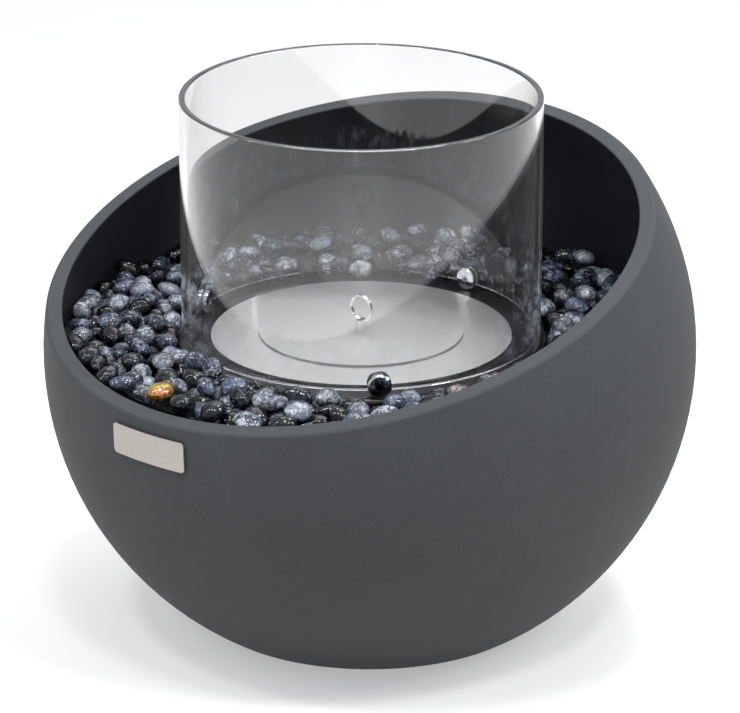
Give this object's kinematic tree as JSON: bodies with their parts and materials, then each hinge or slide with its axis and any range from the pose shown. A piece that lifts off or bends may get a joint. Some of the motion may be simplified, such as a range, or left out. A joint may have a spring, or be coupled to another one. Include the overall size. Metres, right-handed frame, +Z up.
{
  "type": "bioethanol fire bowl",
  "caption": "Round cast-concrete bowl with a slanted mouth, a steel bioethanol burner with a snuffer lid, a bed of glass pebbles and a lift-off glass wind guard.",
  "frame": {"origin": "on the floor, under the middle of the ball", "axes": "+Z up; -Y towards the lowest point of the slanted mouth and the badge; +X to the right seen from that side"},
  "size_m": [0.4, 0.4017, 0.3345],
  "materials": {
    "concrete": "anthracite fibre-cement, cast smooth and sealed matt",
    "rubber": "matt black",
    "foam_tape": "black double-sided foam tape",
    "badge_metal": "fine satin, pale champagne tone, left bare",
    "black_steel": "semi-gloss black stove enamel",
    "brass": "turned",
    "screw_steel": "bright zinc",
    "stainless_steel": "satin",
    "polished_steel": "polished stainless",
    "chromed_steel": "bright chrome",
    "ceramic_fibre": "soft white ceramic-fibre wool",
    "clear_glass": "clear borosilicate, polished edges",
    "clear_liner": "translucent silicone",
    "black_glass": "tumbled black glass, glossy",
    "slate_glass": "tumbled slate-blue glass, glossy",
    "mist_glass": "tumbled marbled grey glass, glossy",
    "amber_glass": "amber glass with an iridescent skin",
    "pale_glass": "clear tumbled glass"
  },
  "bodies": {
    "bowl": {"bowl_shell": "concrete", "base_pads": "rubber", "badge_tape": "foam_tape", "badge_plate": "badge_metal", "burner_tray": "black_steel", "tray_inserts": "brass", "tray_screws": "screw_steel", "pebbles_black": "black_glass", "pebbles_slate": "slate_glass", "pebbles_mist": "mist_glass", "pebble_amber": "amber_glass", "pebbles_clear": "pale_glass", "pebble_crystal": "pale_glass"},
    "wind_guard": {"glass_guard": "clear_glass", "glass_clips": "chromed_steel", "clip_liners": "clear_liner", "clip_screws": "screw_steel"},
    "burner": {"burner_can": "stainless_steel", "burner_flange": "stainless_steel", "ceramic_wool": "ceramic_fibre"},
    "lid": {"lid_disc": "stainless_steel", "lid_collar": "stainless_steel", "lid_ring": "polished_steel", "lid_washer": "screw_steel", "lid_nut": "screw_steel"}
  },
  "joints": [
    {"name": "guard_lift", "type": "slide", "parent": "bowl", "child": "wind_guard", "axis": [0, 0, 1], "range_m": [0, 0.2]},
    {"name": "burner_lift", "type": "slide", "parent": "bowl", "child": "burner", "axis": [0, 0, 1], "range_m": [0, 0.12]},
    {"name": "lid_lift", "type": "slide", "parent": "burner", "child": "lid", "axis": [0, 0, 1], "range_m": [0, 0.06]}
  ]
}
